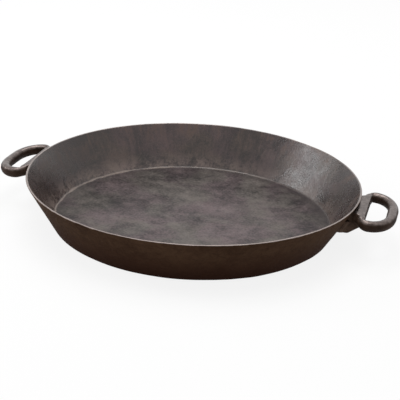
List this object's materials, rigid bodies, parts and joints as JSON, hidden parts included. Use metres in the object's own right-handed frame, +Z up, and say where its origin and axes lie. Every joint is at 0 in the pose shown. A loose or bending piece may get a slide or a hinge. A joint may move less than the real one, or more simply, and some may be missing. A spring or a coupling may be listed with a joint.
{
  "type": "frying pan",
  "caption": "Large round cast-iron frying pan with a flared wall, a flat floor and a fixed loop handle on each side, for frying over a stove or an open fire.",
  "frame": {"origin": "middle of the underside, on the surface that the pan stands on", "axes": "+X out through the right handle, +Z up out of the bowl"},
  "size_m": [0.619, 0.508, 0.071],
  "materials": {
    "bowl_iron": "satin, seasoned, worn grey on the floor and the rim",
    "lug_iron": "matt, brown, rough as cast",
    "handle_iron": "satin, rubbed by hands on top, brown below"
  },
  "bodies": {
    "root": {"pan_bowl": "bowl_iron", "right_wall_lug": "lug_iron", "right_loop_handle": "handle_iron", "left_wall_lug": "lug_iron", "left_loop_handle": "handle_iron"}
  },
  "joints": []
}
